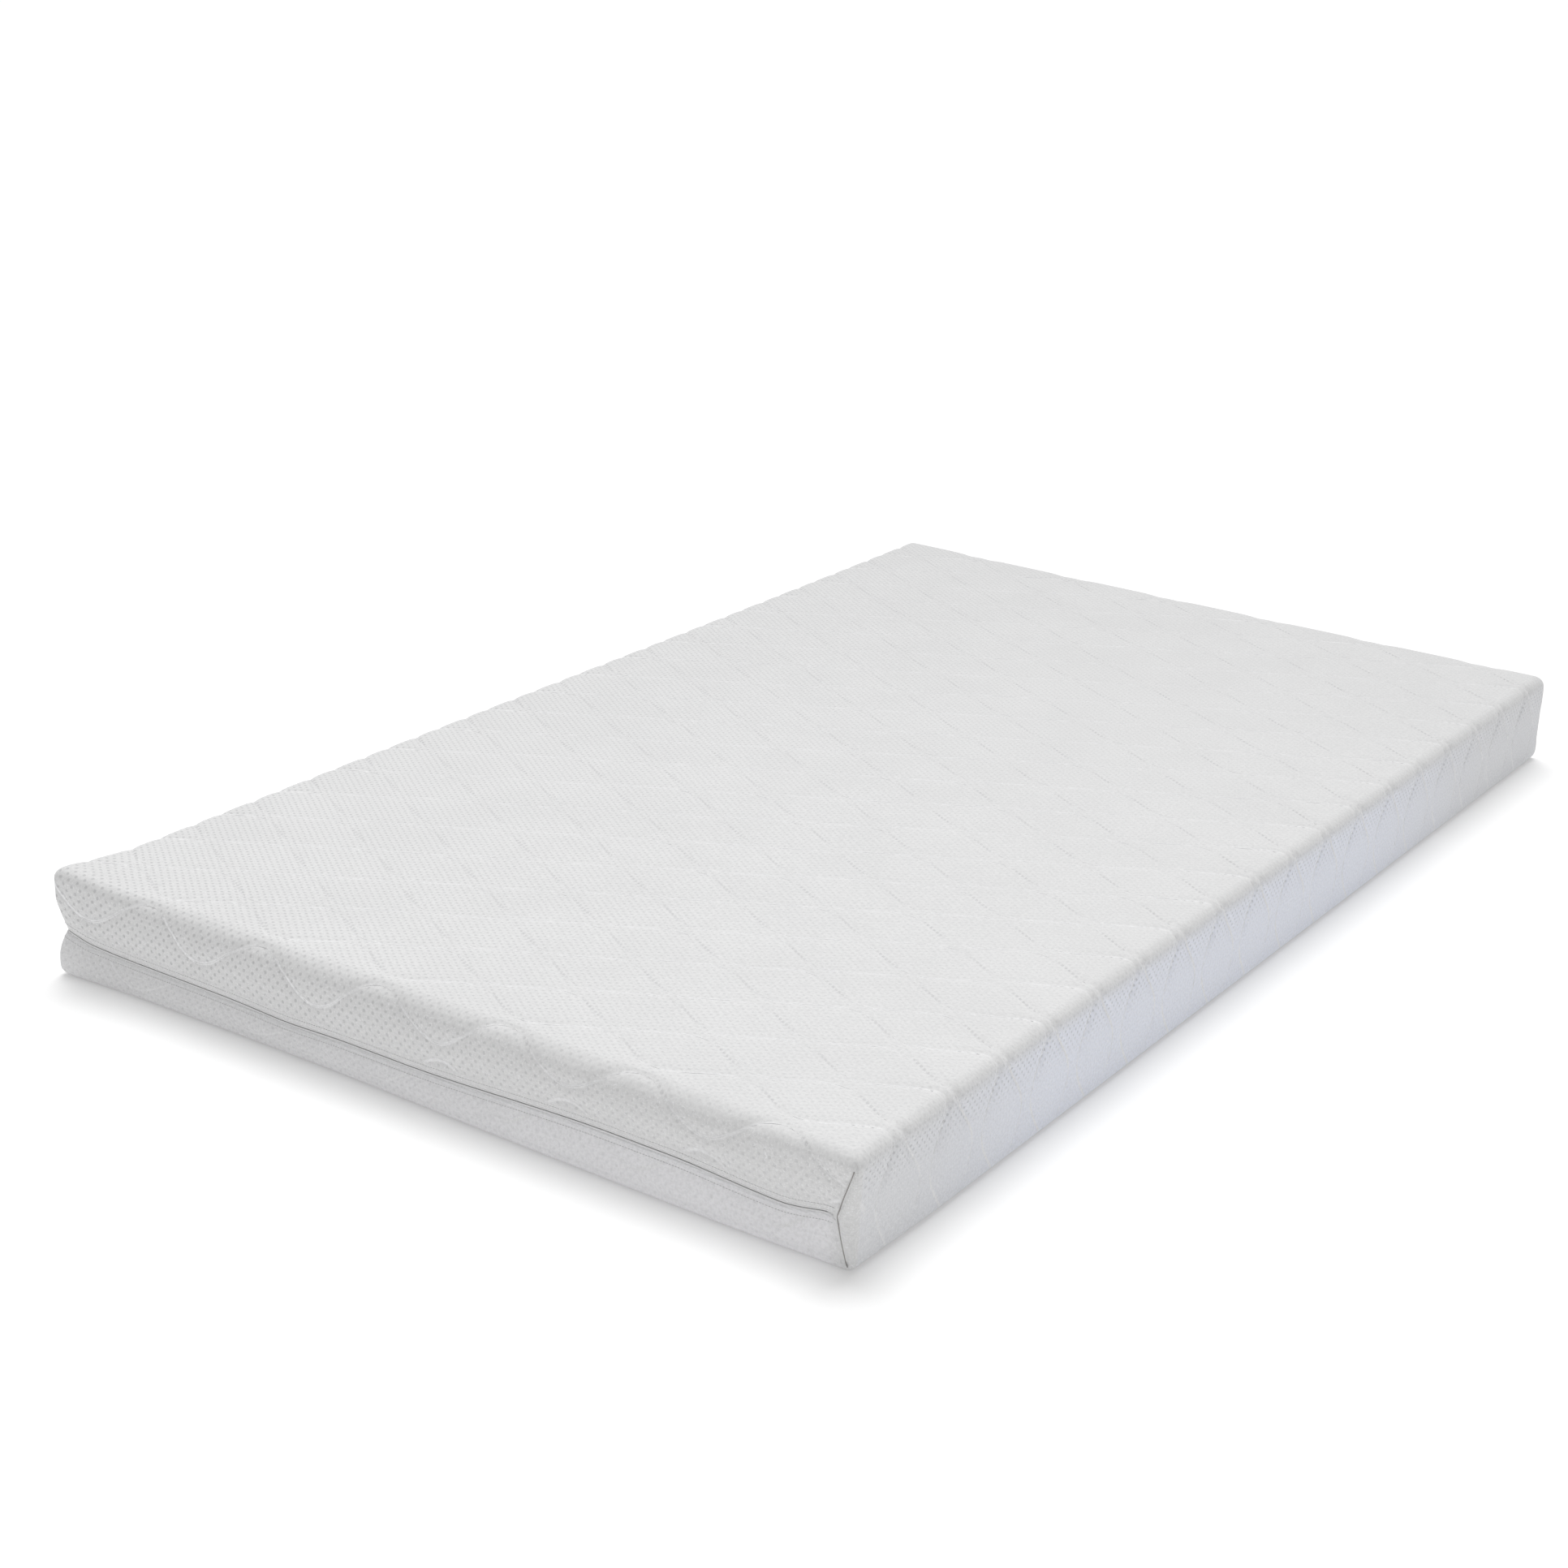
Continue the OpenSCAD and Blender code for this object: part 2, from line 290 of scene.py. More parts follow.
def quilt_distance(s, t):
    """Distance from the nearest quilt line, square to it."""
    slope = QUILT_SWING * 2 * PI / QUILT_WAVE
    slope = slope * np.sin(2 * PI * (s - QUILT_CREST) / QUILT_WAVE)
    found = []
    for line in quilt_lines(s):
        off = np.mod(t - line, QUILT_PITCH)
        found.append(np.minimum(off, QUILT_PITCH - off))
    return np.minimum(*found) / np.sqrt(1 + slope ** 2)


def relief(x, y, z, s, t, widen=0.0):
    """How far the quilting draws the cover in."""
    crease = np.maximum(quilt_distance(s, t) - widen, 0) / CREASE_WIDTH
    on_top = smooth(THICK - 20 * MM, THICK, z)
    edge = smooth(0.02, 0.10, edge_gap(x, y))
    seamless = smooth(HALF_W - 60 * MM, HALF_W - 10 * MM, x)
    side = SIDE_RELIEF * (1 - 0.5 * seamless)
    side = side + (SEAMLESS_RELIEF - side) * seamless * smooth(70 * MM, 115 * MM, z)
    amount = side + (TOP_RELIEF - side) * on_top * edge
    corner_fade = smooth(6 * MM, 34 * MM, corner_gap(x, y))
    from_zip = np.abs(z - ZIP_Z)
    zip_fade = 1 - (1 - smooth(8 * MM, 26 * MM, from_zip)) * zip_share(x)
    low_fade = (1 - np.where(z > ZIP_Z, 0, 0.7) * zip_share(x)) * smooth(0, 12 * MM, z)
    return amount * (1 - np.tanh(crease)) * corner_fade * zip_fade * low_fade


# ---- lattices over the box
TOP, BOTTOM, FRONT, BACK, LEFT, RIGHT = range(6)
TOP_S = span(HALF_W, TOP_R)
TOP_T = span(HALF_L, TOP_R)


def stretch(s, t):
    """How far the cloth has slid on the front flap and on the side without a zip."""
    slack = 8 * MM * (1 - smooth(0.38, 0.72, s)) * (1 - smooth(0, 0.12, t))
    pulled = 0.28 * np.maximum(0, 20 * MM - t)
    skew = 0.25 * np.maximum(0, -t) * (1 - smooth(0.2, 0.55, s))
    return 0.14 * np.maximum(0, s - TOP_S) + skew, slack + pulled


def fabric(side, x, y, z):
    """Cloth coordinates on one side of the box: one pattern, folded over the edges."""
    s = across(x, HALF_W, TOP_R)
    t = across(y, HALF_L, TOP_R)
    down = np.where(z > THICK / 2, cloth(THICK - z, TOP_R),
                    THICK - TOP_R * (1 - BEND) - LOW_R * (1 - BEND) - cloth(z, LOW_R))
    whole = THICK - (TOP_R + LOW_R) * (1 - BEND)
    if side == FRONT:
        t = -down
    elif side == BACK:
        t = TOP_T + down
    elif side == LEFT:
        s = -down
    elif side == RIGHT:
        s = TOP_S + down
    elif side == BOTTOM:
        s = TOP_S + whole + across(-x, HALF_W, LOW_R)
    slid_s, slid_t = stretch(s, t)
    return s + slid_s, t + slid_t


def lines(half, step, fine, edge, far_edge=None):
    """Positions across a face, closer together along its two edges."""
    far_edge = far_edge or edge
    middle_span = 2 * half - edge - far_edge
    near = np.linspace(0, edge, round(edge / fine) + 1)
    middle = edge + np.linspace(0, middle_span, 4 * round(middle_span / step / 4) + 1)
    far = np.linspace(2 * half - far_edge, 2 * half, round(far_edge / fine) + 1)
    return np.concatenate([near[:-1], middle, far[1:]]) - half


def side_rows(low, middle, high):
    """For each level of the sides: a share of the lower part, of the slot and of the upper."""
    down = np.linspace(0, 1, low + 1) ** 0.9
    slot = np.linspace(0, 1, middle + 1)
    up = np.linspace(0, 1, high + 1) ** 1.1
    return (np.concatenate([down, np.ones(middle + high)]),
            np.concatenate([np.zeros(low), slot, np.ones(high)]),
            np.concatenate([np.zeros(low + middle), up]))


class Lattice:
    """A mesh over the whole box: columns xs and ys in plan, and levels up the sides."""

    def __init__(self, xs, ys, rows, grow=0.0):
        self.below, self.between, self.above = rows
        self.nx, self.ny, self.nz = len(xs) - 1, len(ys) - 1, len(self.below) - 1
        counts = (self.nx + 1, self.ny + 1, self.nz + 1)
        grid = np.meshgrid(*[range(count) for count in counts], indexing="ij")
        i, j, k = [g.ravel() for g in grid]
        on = (i % self.nx == 0) | (j % self.ny == 0) | (k % self.nz == 0)
        self.index = np.full(on.size, -1)
        self.index[on] = np.arange(on.sum())
        self.index = self.index.reshape(counts)
        self.i, self.j, self.k = i[on], j[on], k[on]
        self.x, self.y = np.asarray(xs)[self.i], np.asarray(ys)[self.j]
        half = lip(self.x, self.y) + grow
        below, between, above = self.below[self.k], self.between[self.k], self.above[self.k]
        self.z = below * (ZIP_Z - half) + above * (THICK - ZIP_Z - half) + between * 2 * half
        self.lips = [int(np.argmax(part >= 1)) for part in (self.below, self.between)]
        self.quads, self.side = self._faces()

    def _faces(self):
        n, m, p = self.nx, self.ny, self.nz
        q = self.index

        def sheet(a):
            """Quads of a 2D table of points, turning from its first axis to its second."""
            return np.stack([a[:-1, :-1], a[1:, :-1], a[1:, 1:], a[:-1, 1:]], -1).reshape(-1, 4)

        tables = {TOP: q[:, :, p], BOTTOM: q[:, :, 0].T, FRONT: q[:, 0, :],
                  BACK: q[:, m, :].T, LEFT: q[0].T, RIGHT: q[n]}
        quads = [sheet(table) for table in tables.values()]
        sides = [np.full(len(some), side) for side, some in zip(tables, quads)]
        return np.concatenate(quads), np.concatenate(sides)

    def fabric(self):
        """Cloth coordinates of each vertex, by the side it belongs to."""
        side = np.full(self.x.shape, BOTTOM)
        side[self.i == 0] = LEFT
        side[self.i == self.nx] = RIGHT
        side[self.j == 0] = FRONT
        side[self.j == self.ny] = BACK
        side[self.k == self.nz] = TOP
        s, t = np.zeros(self.x.shape), np.zeros(self.x.shape)
        for one in range(6):
            on = side == one
            s[on], t[on] = fabric(one, self.x[on], self.y[on], self.z[on])
        return s, t


def make_mesh(name, points, faces, material):
    """A smooth-shaded object in the scene, from points and faces."""
    mesh = bpy.data.meshes.new(name)
    mesh.from_pydata(points.tolist(), [], [list(f) for f in faces])
    mesh.update()
    mesh.polygons.foreach_set("use_smooth", [True] * len(mesh.polygons))
    mesh.materials.append(material)
    piece = bpy.data.objects.new(name, mesh)
    bpy.context.scene.collection.objects.link(piece)
    return piece


def finish_piece(piece, node):
    """Hangs a piece on the mattress's body, in place of its CAD node."""
    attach(piece, "mattress")
    if node:
        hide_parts(node)
    return piece


# ---- materials
class Shader:
    """A material made of nodes, with short ways to add them."""

    def __init__(self, name, color, roughness):
        self.material = bpy.data.materials.new(name)
        self.material.use_nodes = True
        self.tree = self.material.node_tree
        self.surface = self.tree.nodes["Principled BSDF"]
        self.surface.inputs["Roughness"].default_value = roughness
        self.surface.inputs["Base Color"].default_value = (*color, 1)
        self.material.diffuse_color = (*color, 1)

    def feed(self, socket, value):
        """Links an output to a socket, or sets the socket to a colour or a number."""
        if isinstance(value, bpy.types.NodeSocket):
            self.tree.links.new(value, socket)
        elif isinstance(value, tuple):
            socket.default_value = (*value, 1)
        else:
            socket.default_value = value

    def math(self, operation, *values):
        node = self.tree.nodes.new("ShaderNodeMath")
        node.operation = operation
        for socket, value in zip(node.inputs, values):
            self.feed(socket, value)
        return node.outputs[0]

    def mottled(self, color, pattern, low, high, dark, light):
        """A colour, darker where the pattern is low and lighter where it is high."""
        return self.mix(self.ranged(pattern, low, high), shade(color, dark), shade(color, light))

    def ranged(self, value, low, high, to_low=0.0, to_high=1.0):
        """Value moved smoothly from low..high to to_low..to_high."""
        node = self.tree.nodes.new("ShaderNodeMapRange")
        node.interpolation_type = "SMOOTHSTEP"
        for socket, number in zip(node.inputs, (value, low, high, to_low, to_high)):
            self.feed(socket, number)
        return node.outputs[0]

    def mix(self, share, a, b):
        node = self.tree.nodes.new("ShaderNodeMix")
        node.data_type = "RGBA"
        self.feed(node.inputs["Factor"], share)
        self.feed(node.inputs["A"], a)
        self.feed(node.inputs["B"], b)
        return node.outputs["Result"]

    def texture(self, kind, scale, detail=2.0, scaled=None):
        """Noise or cells over the object, with this many features per metre."""
        kinds = {"noise": "ShaderNodeTexNoise", "voronoi": "ShaderNodeTexVoronoi"}
        node = self.tree.nodes.new(kinds[kind])
        node.inputs["Scale"].default_value = scale
        if kind == "noise":
            node.inputs["Detail"].default_value = detail
        self.tree.links.new(self.where(scaled), node.inputs["Vector"])
        return node.outputs[0]

    def where(self, scaled=None):
        """Object coordinates in metres, scaled along each axis if need be."""
        spot = self.tree.nodes.new("ShaderNodeTexCoord").outputs["Object"]
        if scaled is None:
            return spot
        node = self.tree.nodes.new("ShaderNodeMapping")
        node.inputs["Scale"].default_value = scaled
        self.tree.links.new(spot, node.inputs["Vector"])
        return node.outputs[0]

    def axes(self, vector):
        node = self.tree.nodes.new("ShaderNodeSeparateXYZ")
        self.tree.links.new(vector, node.inputs[0])
        return node.outputs

    def uv(self, name):
        node = self.tree.nodes.new("ShaderNodeUVMap")
        node.uv_map = name
        return self.axes(node.outputs[0])

    def attribute(self, name):
        node = self.tree.nodes.new("ShaderNodeAttribute")
        node.attribute_name = name
        return node.outputs["Fac"]

    def wave(self, value, length, phase=0.0):
        """Cosine of a coordinate, -1 to 1, with this wavelength."""
        turned = self.math("MULTIPLY", self.math("SUBTRACT", value, phase), 2 * PI / length)
        return self.math("COSINE", turned)

    def chain(self, operation, *values):
        """Joins values with one operation, from left to right."""
        total = values[0]
        for value in values[1:]:
            total = self.math(operation, total, value)
        return total

    def add(self, *values):
        return self.chain("ADD", *values)

    def times(self, *values):
        return self.chain("MULTIPLY", *values)

    def bump(self, height, strength=1.0):
        """Height in metres."""
        node = self.tree.nodes.new("ShaderNodeBump")
        node.inputs["Strength"].default_value = strength
        node.inputs["Distance"].default_value = 1.0
        self.feed(node.inputs["Height"], height)
        self.tree.links.new(node.outputs[0], self.surface.inputs["Normal"])

    def paint(self, color):
        self.feed(self.surface.inputs["Base Color"], color)

    def set(self, **values):
        for name, value in values.items():
            self.surface.inputs[name.replace("_", " ")].default_value = value


def shade(color, by):
    """A colour made darker or lighter."""
    return tuple(c * by for c in color)


def quilt_masks(m, s, t):
    """Distance from the nearest quilt line, and masks of the lines' falling and rising parts."""
    width = 3.5 * MM
    swing = m.times(m.wave(s, QUILT_WAVE, QUILT_CREST), QUILT_SWING)
    lean = m.wave(s, QUILT_WAVE, QUILT_CREST + QUILT_WAVE / 4)
    to_a = m.math("PINGPONG", m.add(t, swing, -FAMILY_A), QUILT_PITCH / 2)
    to_b = m.math("PINGPONG", m.chain("SUBTRACT", t, swing, FAMILY_B), QUILT_PITCH / 2)
    near_a = m.ranged(to_a, 0.0, width, 1.0, 0.0)
    near_b = m.ranged(to_b, 0.0, width, 1.0, 0.0)
    falling = m.add(m.times(near_a, m.ranged(lean, -0.95, -0.55, 1.0, 0.0)),
                    m.times(near_b, m.ranged(lean, 0.55, 0.95)))
    rising = m.add(m.times(near_a, m.ranged(lean, -0.2, 0.6)),
                   m.times(near_b, m.ranged(lean, -0.6, 0.2, 1.0, 0.0)))
    return m.math("MINIMUM", to_a, to_b), falling, rising


def knit_material():
    """White knit with a lattice of small dents, drawn in along the quilt lines."""
    white = (0.80, 0.80, 0.80)
    grey = (0.42, 0.42, 0.43)
    blue_light_color = (0.87, 0.895, 0.975)
    flap_light_color = (0.965, 0.96, 0.98)
    stitch_white = (0.99, 0.99, 1.0)
    highlight_white = (0.92, 0.92, 0.925)
    speck_white = (0.95, 0.95, 0.96)
    m = Shader("cover_knit_white", white, 0.85)
    s, t, _ = m.uv("fabric")
    height_up = m.axes(m.where())[2]
    plain = m.attribute("plain")
    patterned = m.math("SUBTRACT", 1.0, plain)
    dent_and_shade_share = m.times(patterned, m.attribute("dents_and_shade"))
    lattice = m.times(m.wave(s, DOT_ACROSS), m.wave(t, DOT_ALONG))
    # the dots: dents pressed in by the bump, and darkened in the colour as painted shade
    dots_and_shade = m.times(m.ranged(lattice, 0.35, 0.92), dent_and_shade_share)
    to_line, falling, rising = quilt_masks(m, s, t)
    flat = m.ranged(m.attribute("flat"), 0.8, 1.0)
    not_flat = m.math("SUBTRACT", 1.0, flat)
    # painted shade on the quilt lines' falling parts on top, also pressed in by the bump
    dashes_and_shade = m.times(falling, m.ranged(m.wave(s, 7 * MM), -0.6, 0.5), flat)
    on_sides = m.times(not_flat, dent_and_shade_share)
    # painted shade: a darker band beside the quilt lines on the sides, where the creases lie in
    # shade, weaker under the painted blue light
    drawn = m.times(m.ranged(to_line, 0.0, 5 * MM, 1.0, 0.0), on_sides,
                    m.ranged(m.attribute("blue_light_share"), 0.0, 1.0, 0.26, 0.09))
    stitch = m.times(m.ranged(to_line, 0.5 * MM, 2.0 * MM, 0.9, 0.0), on_sides)
    # painted highlight along the quilt lines' rising parts
    painted_highlight_streaks = m.times(rising, patterned)
    rows = m.wave(t, 6.9 * MM)
    ribs = m.times(m.wave(height_up, RIB_PITCH), plain)
    uneven = m.texture("noise", 9.0)
    grain = m.texture("noise", 300.0, 1.0)
    fuzz = m.texture("noise", 900.0)
    specks = m.ranged(m.texture("noise", 480.0, 0.0), 0.62, 0.74, 0.0, 0.5)
    tone = m.mottled(white, uneven, 0.3, 0.7, 0.985, 1.01)
    coats = (
        # painted light: bluish white on the side without a zip
        (m.attribute("blue_light_share"), blue_light_color),
        # painted light: whiter lower flap along the front
        (m.attribute("flap_light_share"), flap_light_color),
        # painted shade in the dents
        (m.times(dots_and_shade, 0.52), grey),
        # painted shade on the falling parts of the quilt lines
        (m.times(dashes_and_shade, 0.38), grey),
        # painted shade beside the creases
        (drawn, grey),
        (stitch, stitch_white),
        # painted highlight on the rising parts of the quilt lines
        (m.times(painted_highlight_streaks, 0.80), highlight_white),
        (m.ranged(rows, 0.4, 1.0, 0.0, 0.03), grey),
        (m.ranged(grain, 0.35, 0.65, 0.13, 0.0), grey),
        (m.ranged(fuzz, 0.35, 0.65, 0.04, 0.0), grey),
        (m.times(specks, not_flat), speck_white),
    )
    for share, color in coats:
        tone = m.mix(share, tone, color)
    m.paint(tone)
    heights = ((dots_and_shade, -0.5), (dashes_and_shade, -0.5), (ribs, 0.12), (grain, 0.5), (fuzz, 0.12), (rows, 0.05))
    m.bump(m.add(*[m.times(part, high * MM) for part, high in heights]), 0.7)
    m.set(Sheen_Weight=0.12, Sheen_Roughness=0.6, Specular_IOR_Level=0.15)
    return m.material


def woven_material(name, color, pitch, roughness=0.8, shine=0.2):
    """Plain woven cloth with this thread pitch."""
    m = Shader(name, color, roughness)
    x, y, z = m.axes(m.where())
    weave = m.times(m.wave(m.add(x, y), pitch), m.wave(z, pitch))
    uneven = m.texture("noise", 60.0)
    tone = m.mottled(color, weave, -0.6, 0.6, 0.88, 1.04)
    m.paint(m.mix(m.ranged(uneven, 0.3, 0.7, 0.0, 0.3), tone, shade(color, 0.92)))
    m.bump(m.times(weave, pitch * 0.08), 0.6)
    m.set(Sheen_Weight=0.1, Specular_IOR_Level=shine)
    return m.material


def twisted_material(name, color, pitch):
    """Sewing thread or cord, with its twist."""
    m = Shader(name, color, 0.6)
    x, y, z = m.axes(m.where())
    twist = m.wave(m.add(x, y, z), pitch)
    fibres = m.texture("noise", 500.0)
    tone = m.mottled(color, twist, -0.5, 0.9, 0.85, 1.05)
    m.paint(m.mix(m.ranged(fibres, 0.3, 0.7, 0.0, 0.25), tone, shade(color, 0.9)))
    m.bump(m.times(twist, pitch * 0.1), 0.6)
    m.set(Sheen_Weight=0.1, Specular_IOR_Level=0.3)
    return m.material


def fleece_material(name, color, lump):
    """Matted fibre, such as wadding."""
    m = Shader(name, color, 0.95)
    tufts = m.texture("noise", 1 / lump, 6.0)
    hairs = m.texture("noise", 900.0, 3.0, (1.0, 0.25, 1.0))
    tone = m.mottled(color, tufts, 0.3, 0.7, 0.9, 1.03)
    m.paint(m.mix(m.ranged(hairs, 0.35, 0.65, 0.0, 0.3), tone, shade(color, 0.85)))
    m.bump(m.add(m.times(tufts, 1.2 * MM), m.times(hairs, 0.3 * MM)), 0.6)
    m.set(Sheen_Weight=0.2, Specular_IOR_Level=0.1)
    return m.material


def foam_material(name, color, cell):
    """Open-cell foam with a cut skin."""
    m = Shader(name, color, 0.9)
    cells = m.texture("voronoi", 1 / cell)
    patches = m.texture("noise", 4.0)
    tone = m.mottled(color, cells, 0.1, 0.7, 0.82, 1.02)
    m.paint(m.mix(m.ranged(patches, 0.3, 0.7, 0.0, 0.4), tone, shade(color, 0.95)))
    m.bump(m.times(cells, cell * 0.3), 0.7)
    m.set(Specular_IOR_Level=0.2)
    return m.material


def moulded_material(name, color):
    """Moulded nylon, faintly mottled."""
    m = Shader(name, color, 0.42)
    grain = m.texture("noise", 700.0)
    m.paint(m.mottled(color, grain, 0.3, 0.7, 0.93, 1.03))
    m.bump(m.times(grain, 0.05 * MM), 0.4)
    m.set(Specular_IOR_Level=0.5, Coat_Weight=0.1)
    return m.material


def metal_material(name, color):
    """Painted die-cast metal, with worn patches at random."""
    m = Shader(name, color, 0.35)
    wear = m.texture("noise", 900.0, 4.0)
    peel = m.texture("noise", 2500.0)
    m.paint(m.mottled(color, wear, 0.55, 0.72, 1.0, 0.72))
    m.feed(m.surface.inputs["Roughness"], m.ranged(wear, 0.3, 0.7, 0.28, 0.45))
    m.bump(m.times(peel, 0.03 * MM), 0.5)
    m.set(Metallic=0.35, Specular_IOR_Level=0.5)
    return m.material


# ---- the cover's knit
def bottom_faces(lattice, ring_x, ring_y, step=4):
    """Coarse faces for the flat middle of the underside, joined to the fine ring round it."""
    q = lattice.index[:, :, 0]
    columns = list(range(ring_x, lattice.nx - ring_x + 1, step))
    rows = list(range(ring_y, lattice.ny - ring_y + 1, step))
    faces = []
    for a, b in zip(columns, columns[1:]):
        for c, d in zip(rows, rows[1:]):
            west = [q[a, j] for j in (range(c, d) if a == columns[0] else [c])]
            north = [q[i, d] for i in (range(a, b) if d == rows[-1] else [a])]
            east = [q[b, j] for j in (range(d, c, -1) if b == columns[-1] else [d])]
            south = [q[i, c] for i in (range(b, a, -1) if c == rows[0] else [b])]
            faces.append(west + north + east + south)
    return faces


def thin_bottom(lattice, ring_x, ring_y):
    """All faces of a lattice, with the fine grid under the flat underside taken out."""
    quads, side = lattice.quads, lattice.side
    i, j = lattice.i[quads], lattice.j[quads]
    inside = (i.min(1) >= ring_x) & (i.max(1) <= lattice.nx - ring_x)
    inside &= (j.min(1) >= ring_y) & (j.max(1) <= lattice.ny - ring_y)
    keep = ~(inside & (side == BOTTOM))
    coarse = bottom_faces(lattice, ring_x, ring_y)
    faces = quads[keep].tolist() + coarse
    sides = np.concatenate([side[keep], np.full(len(coarse), BOTTOM)])
    return faces, sides


def compact(points, faces, *others):
    """Drops the points that no face uses."""
    flat = np.concatenate([np.asarray(f) for f in faces])
    used = np.unique(flat)
    new = np.full(len(points), -1)
    new[used] = np.arange(len(used))
    return points[used], [new[f].tolist() for f in faces], [o[used] for o in others]


def seam_offset(z):
    """How far a corner seam stands in from the corner, along the front or back."""
    above = np.clip(1 - (z - ZIP_Z) / (68 * MM), 0, 1)
    below = np.clip(1 - (ZIP_Z - z) / (54 * MM), 0, 1)
    return 4 * MM + 21 * MM * np.where(z > ZIP_Z, above, below)


def seam_dent(x, y, z):
    """The crease beside a corner seam, and the strip that stands proud of it."""
    on_end = np.abs(np.abs(y) - HALF_L) < ON_FACE
    off = (x - HALF_W) + seam_offset(z)
    crease = 3.2 * MM * np.exp(-(off / (2.6 * MM)) ** 2)
    strip = 1.6 * MM * smooth(1 * MM, 7 * MM, off) * (1 - smooth(12 * MM, 22 * MM, off))
    fade = smooth(0, 15 * MM, z) * smooth(0, 15 * MM, THICK - z)
    return np.where(on_end, (crease - strip) * fade, 0)


def knit_cover():
    """The whole knit: a fine lattice whose zip rows turn in behind the lips."""
    xs = lines(HALF_W, 7.6 * MM, 3 * MM, 24 * MM, 54 * MM)
    ys = lines(HALF_L, 4.6 * MM, 4 * MM, 36 * MM)
    lattice = Lattice(xs, ys, side_rows(12, 7, 19))
    x, y, z = lattice.x, lattice.y, lattice.z
    s, t = lattice.fabric()
    low, high = lattice.lips
    turn_in = np.zeros(lattice.nz + 1)
    turn_in[low + 1:high] = 1
    turn_in[low + 1] = turn_in[high - 1] = 0.4
    pocket = POCKET * turn_in[lattice.k] * zip_open(x)
    folded = np.isin(lattice.k, [low + 1, low + 2, high - 2, high - 1]) & (zip_open(x) > 0.5)
    z = np.where(folded, ZIP_Z + np.sign(z - ZIP_Z) * lip(x, y) * zip_open(x), z)
    drawn = relief(x, y, z, s, t) + seam_dent(x, y, z)
    points = settle(place(x, y, z, 0.0, pocket) - normals(lattice) * drawn[:, None])
    faces, sides = thin_bottom(lattice, 12, 16)
    points, faces, (px, py, pz) = compact(points, faces, x, y, z)
    cover = make_mesh("knit_cover", points, faces, knit_material())
    lay_fabric(cover, faces, sides, px, py, pz)
    finish_piece(cover, "cover_knit")
    return cover


def normals(lattice):
    """Outward direction of the undrawn surface at each vertex."""
    bare = place(lattice.x, lattice.y, lattice.z)
    quads = lattice.quads
    a, b, c, d = [bare[quads[:, n]] for n in range(4)]
    face = np.cross(c - a, d - b)
    total = np.zeros_like(bare)
    for n in range(4):
        np.add.at(total, quads[:, n], face)
    return unit(total)


def plainness(x, y, z):
    """1 where the knit shows no dents: the hems at the zip, the corner strips, the underside."""
    reach = np.where(z > ZIP_Z, 14 * MM, 8 * MM)
    hem = (1 - smooth(reach - 3 * MM, reach + 3 * MM, np.abs(z - ZIP_Z))) * zip_share(x)
    beside = smooth(-2 * MM, 2 * MM, x - HALF_W + seam_offset(z)) * (x < HALF_W - ON_FACE)
    beside = beside * (np.abs(y) > HALF_L - ON_FACE)
    width = 8 * MM + 42 * MM * smooth(60 * MM, 5 * MM, z)
    strip = 1 - smooth(width - 3 * MM, width + 3 * MM, HALF_L - np.abs(y))
    strip = strip * (x > HALF_W - ON_FACE)
    side = np.maximum(hem, np.maximum(beside, strip)) * (z < THICK - 12 * MM)
    return np.maximum(side, 1 - smooth(0, 2 * MM, z))


def painted_blue_light(x, y, z):
    """Painted light: where the white is painted a little bluer, for the bluish light along the side
    without a zip.
    """
    middle = smooth(-0.95, -0.55, y) * (1 - smooth(0.25, 0.8, y))
    on_side = smooth(HALF_W - 3 * MM, HALF_W, x) * (np.abs(y) < HALF_L - 8 * MM)
    return on_side * (0.25 + 0.75 * middle) * smooth(THICK, THICK - 30 * MM, z)


def painted_flap_light(x, y, z):
    """Painted light: where the lower flap is painted whiter, for the light it gets: along the
    front, and most at its right.
    """
    front = 1 - smooth(-HALF_L + 0.01, -HALF_L + 0.12, y)
    return (z < ZIP_Z) * front * (0.25 + 0.75 * smooth(-0.6, 0.6, x)) * zip_share(x)


def flatness(x, y, z):
    """1 on the top, 0 on the sides."""
    return smooth(THICK - 30 * MM, THICK, z)


def dent_depth_and_shade(x, y, z):
    """How deep the dents are and how much painted shade darkens them: most on the upper flap, least
    on the top, which lies flat in full light, with less of both towards its right and back, and on
    the side without a zip, where the cover is drawn tight; less on the lower flap and at the
    front's right.
    """
    flat = flatness(x, y, z)
    far = smooth(-0.1, 1.3, (x + HALF_W) / (2 * HALF_W) + 0.4 * (y + HALF_L) / (2 * HALF_L))
    seamless = (x > HALF_W - ON_FACE) * smooth(THICK - 20 * MM, THICK - 70 * MM, z)
    low = (z < ZIP_Z) * zip_share(x)
    front_right = (y < -HALF_L + ON_FACE) * smooth(-0.35, 0.5, x)
    on_top = 1 - flat * (0.15 + 0.65 * far)
    return on_top * (1 - 0.85 * seamless) * (1 - 0.6 * low) * (1 - 0.5 * front_right)


